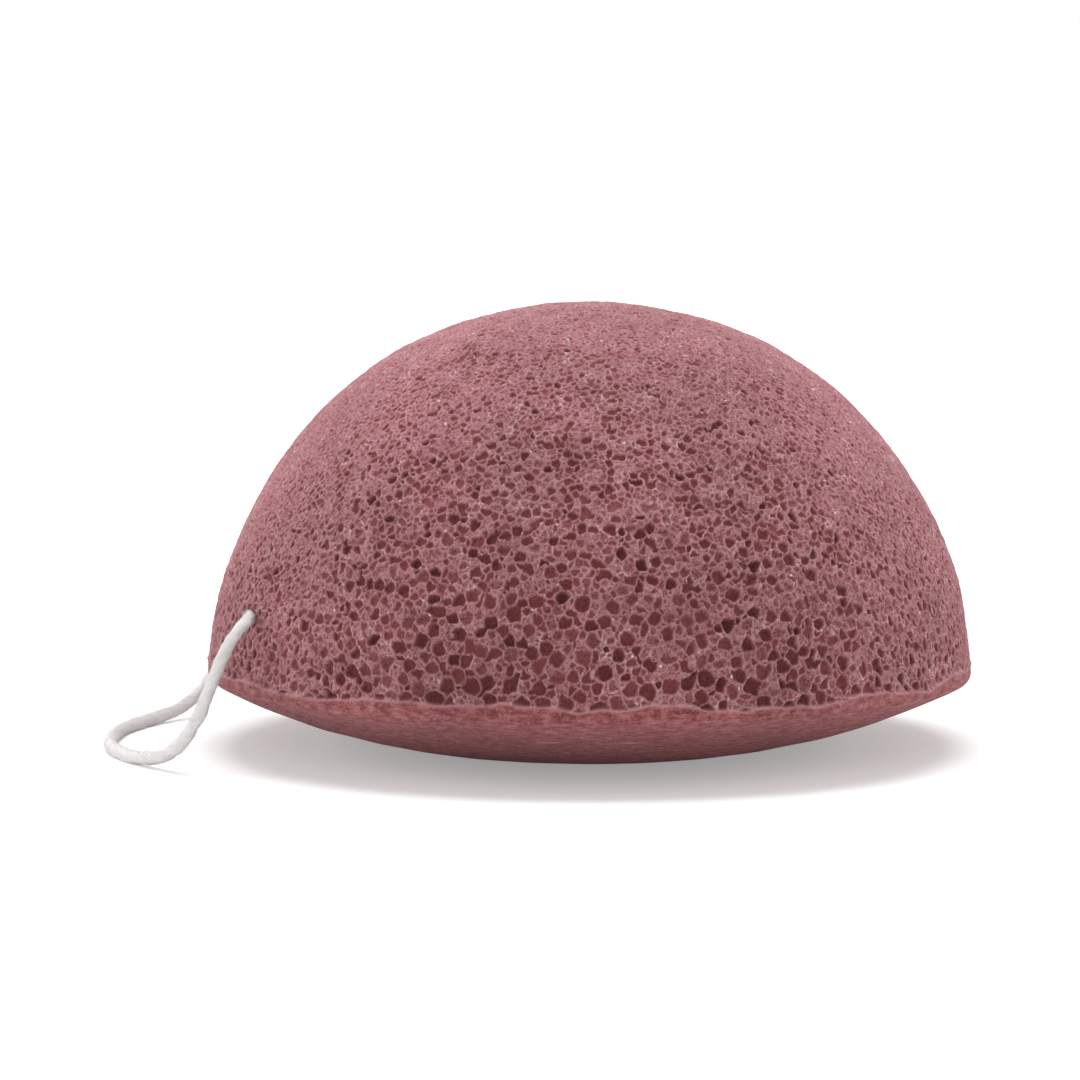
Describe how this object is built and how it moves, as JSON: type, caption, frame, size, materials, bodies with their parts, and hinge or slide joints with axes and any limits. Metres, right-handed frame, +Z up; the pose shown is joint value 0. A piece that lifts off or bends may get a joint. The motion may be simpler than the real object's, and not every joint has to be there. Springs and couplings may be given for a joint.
{
  "type": "konjac sponge",
  "caption": "Half-ball konjac face sponge with an open-pored dome, a smooth bulged base and a cotton hanging loop threaded through its edge.",
  "frame": {"origin": "middle of the flat patch on the base that the sponge rests on", "axes": "+Z up along the axis of the half ball, +X to the right in the picture, +Y away from the camera; the string's tunnel runs along Y on the -X side"},
  "size_m": [0.0908, 0.08, 0.0465],
  "materials": {
    "konjac_foam": "matte",
    "cotton_string": "matte"
  },
  "bodies": {
    "sponge": {"sponge_body": "konjac_foam"},
    "string": {"string_loop": "cotton_string", "string_front_run": "cotton_string", "string_back_run": "cotton_string", "string_knot": "cotton_string"}
  },
  "joints": [
    {"name": "loop_swing", "type": "hinge", "parent": "sponge", "child": "string", "pos_m": [-0.03448, 0, 0.0156], "axis": [0, 1, 0], "range_deg": [-36, 150]}
  ]
}
